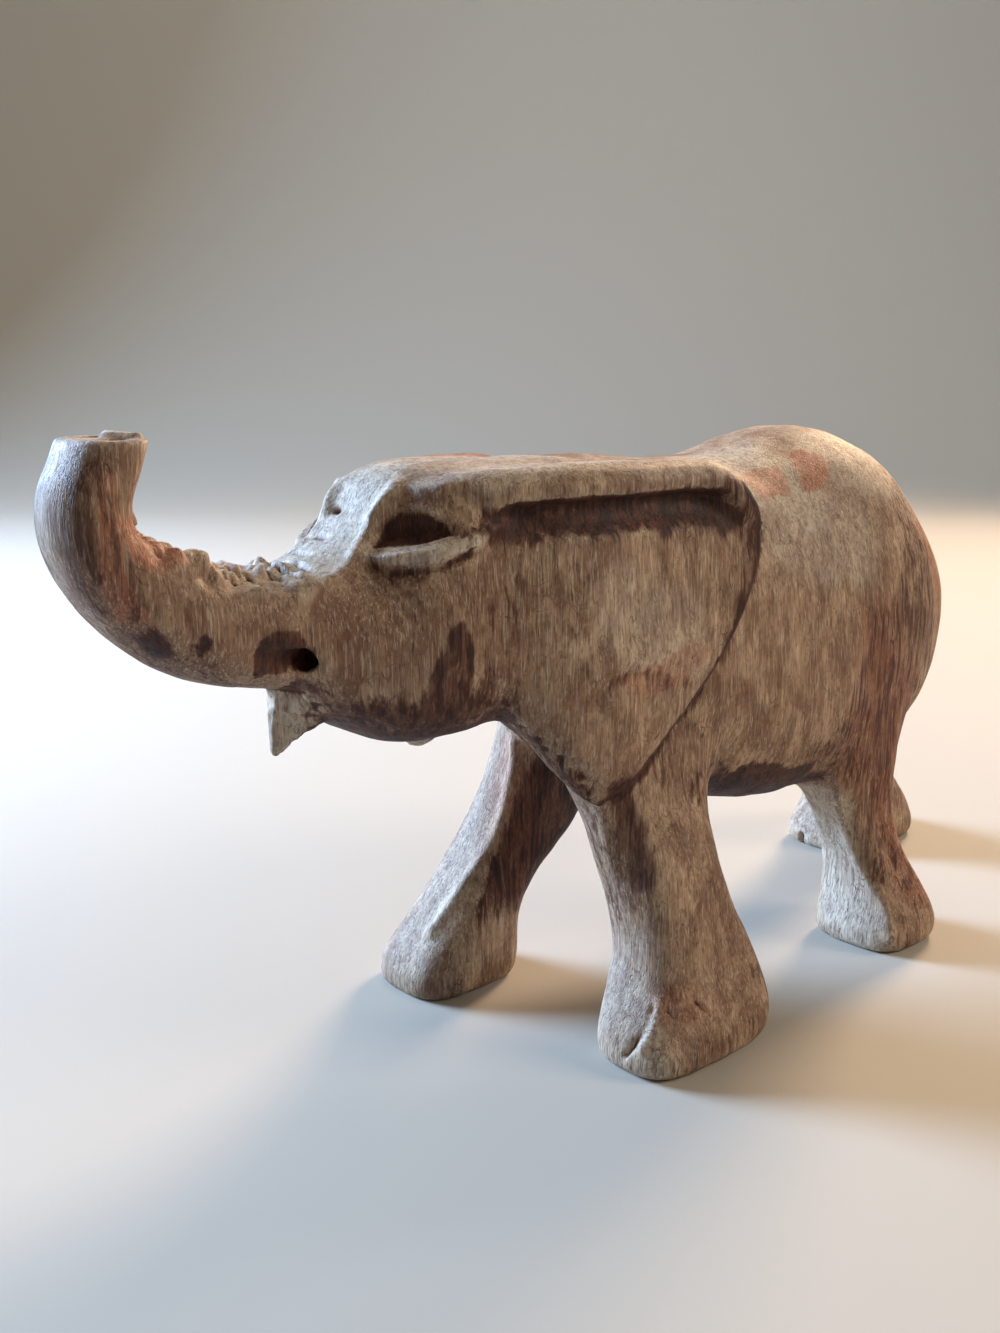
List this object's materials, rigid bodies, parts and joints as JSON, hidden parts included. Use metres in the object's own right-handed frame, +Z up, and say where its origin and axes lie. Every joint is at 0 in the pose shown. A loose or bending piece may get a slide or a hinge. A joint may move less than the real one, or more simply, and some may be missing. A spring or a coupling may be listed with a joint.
{
  "type": "carved wooden elephant figurine",
  "caption": "Walking elephant carved in weathered wood, trunk raised in a curve, ears rolled over at the top, standing on its own feet.",
  "frame": {"origin": "centre of the bounding box in plan, on the floor that the four feet stand on", "axes": "-X towards the elephant's face, +X towards its rump, +Z up, -Y towards its left flank, which is the one in the picture"},
  "size_m": [0.324, 0.0984, 0.153],
  "materials": {
    "wood": "weathered, hand carved, thin satin wax with dark stain in the hollows"
  },
  "bodies": {
    "root": {"elephant": "wood"}
  },
  "joints": []
}
